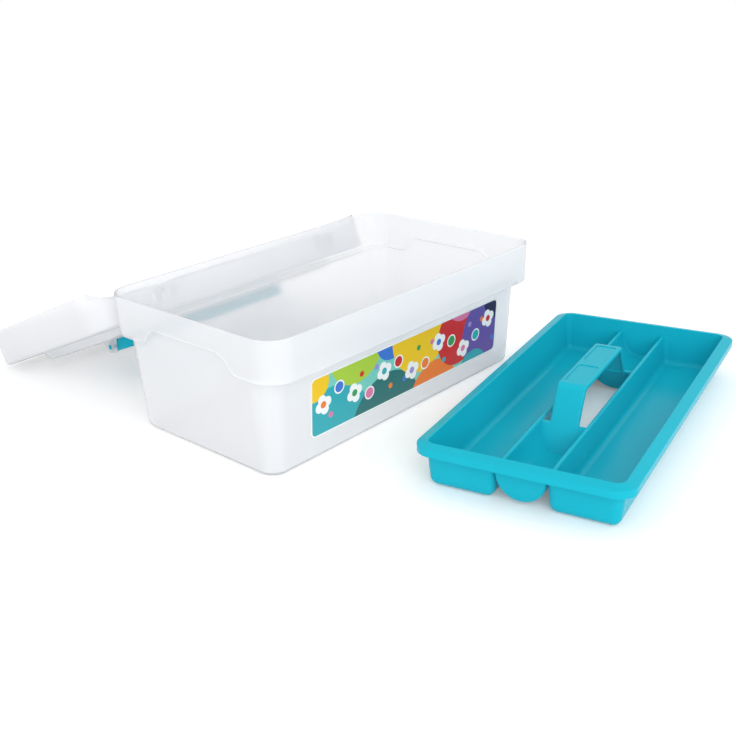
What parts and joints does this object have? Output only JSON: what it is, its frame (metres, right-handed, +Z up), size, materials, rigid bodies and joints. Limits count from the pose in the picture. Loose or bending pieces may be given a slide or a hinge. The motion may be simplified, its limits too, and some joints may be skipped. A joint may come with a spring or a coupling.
{
  "type": "toolbox",
  "caption": "Clear plastic toolbox with a stepped collar, hinged lid with folding handle, and a lift-out divided tray with its own bridge handle.",
  "frame": {"origin": "centre of the box's flat base, on the ground", "axes": "+X along the box, +Y towards the hinges and the open lid, +Z up; the label faces -Y"},
  "size_m": [0.4034, 0.6125, 0.113],
  "materials": {
    "clear_plastic": "milky translucent polypropylene with a soft sheen",
    "turquoise_plastic": "opaque turquoise polypropylene with a soft sheen",
    "label_film": "printed paper under film, in bright blocks of colour"
  },
  "bodies": {
    "box": {"box_body": "clear_plastic", "front_label": "label_film"},
    "lid": {"lid": "clear_plastic"},
    "handle": {"lid_handle": "turquoise_plastic"},
    "tray": {"tray": "turquoise_plastic"}
  },
  "joints": [
    {"name": "lid_hinge", "type": "hinge", "parent": "box", "child": "lid", "pos_m": [0, 0.1045, 0.097], "axis": [1, 0, 0], "range_deg": [0, 203]},
    {"name": "handle_fold", "type": "hinge", "parent": "lid", "child": "handle", "pos_m": [0, 0.18799, 0.02625], "axis": [1, 0, 0], "range_deg": [0, 90]},
    {"name": "tray_lift", "type": "slide", "parent": "box", "child": "tray", "axis": [0, 0, 1], "range_m": [0, 0.2]}
  ]
}
